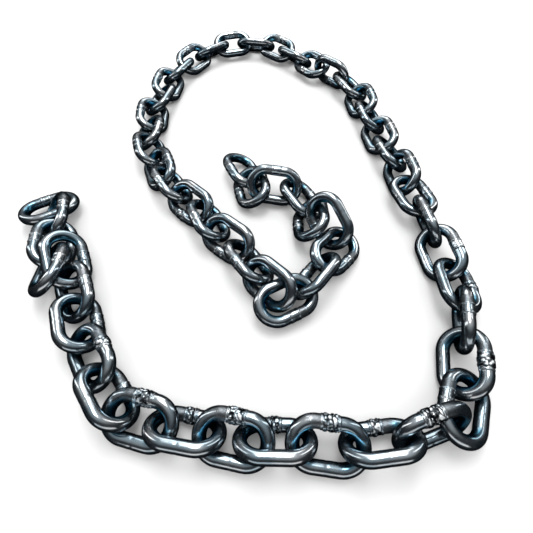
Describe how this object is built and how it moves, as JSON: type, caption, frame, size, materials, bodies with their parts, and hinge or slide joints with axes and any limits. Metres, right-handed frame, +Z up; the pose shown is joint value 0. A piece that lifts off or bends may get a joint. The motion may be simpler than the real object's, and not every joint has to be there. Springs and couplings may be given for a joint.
{
  "type": "loosely laid length of chain",
  "caption": "Length of welded round-steel link chain laid loosely in an open curve on a flat surface, each link closed and threaded through the next, both end eyes free.",
  "frame": {"origin": "middle of the bounding box in plan, at the height of the floor that the chain lies on", "axes": "+Z up from the floor, +Y away from the viewer towards the closed arc of the curve, +X to the viewer's right"},
  "size_m": [0.4004, 0.5494, 0.0414],
  "materials": {
    "blued_steel": "dark blued steel, polished bright along the wires"
  },
  "bodies": {
    "root": {"link_01": "blued_steel", "link_02": "blued_steel", "link_03": "blued_steel", "link_04": "blued_steel", "link_05": "blued_steel", "link_06": "blued_steel", "link_07": "blued_steel", "link_08": "blued_steel", "link_09": "blued_steel", "link_10": "blued_steel", "link_11": "blued_steel", "link_12": "blued_steel", "link_13": "blued_steel", "link_14": "blued_steel", "link_15": "blued_steel", "link_16": "blued_steel", "link_17": "blued_steel", "link_18": "blued_steel", "link_19": "blued_steel", "link_20": "blued_steel", "link_21": "blued_steel", "link_22": "blued_steel", "link_23": "blued_steel", "link_24": "blued_steel", "link_25": "blued_steel", "link_26": "blued_steel", "link_27": "blued_steel", "link_28": "blued_steel", "link_29": "blued_steel", "link_30": "blued_steel", "link_31": "blued_steel", "link_32": "blued_steel", "link_33": "blued_steel", "link_34": "blued_steel", "link_35": "blued_steel", "link_36": "blued_steel", "link_37": "blued_steel", "link_38": "blued_steel", "link_39": "blued_steel", "link_40": "blued_steel", "link_41": "blued_steel", "link_42": "blued_steel", "link_43": "blued_steel", "link_44": "blued_steel", "link_45": "blued_steel", "link_46": "blued_steel", "link_47": "blued_steel", "link_48": "blued_steel", "link_49": "blued_steel", "link_50": "blued_steel", "link_51": "blued_steel", "link_52": "blued_steel", "link_53": "blued_steel", "link_54": "blued_steel", "link_55": "blued_steel", "link_56": "blued_steel", "link_57": "blued_steel", "link_58": "blued_steel", "link_59": "blued_steel"}
  },
  "joints": []
}
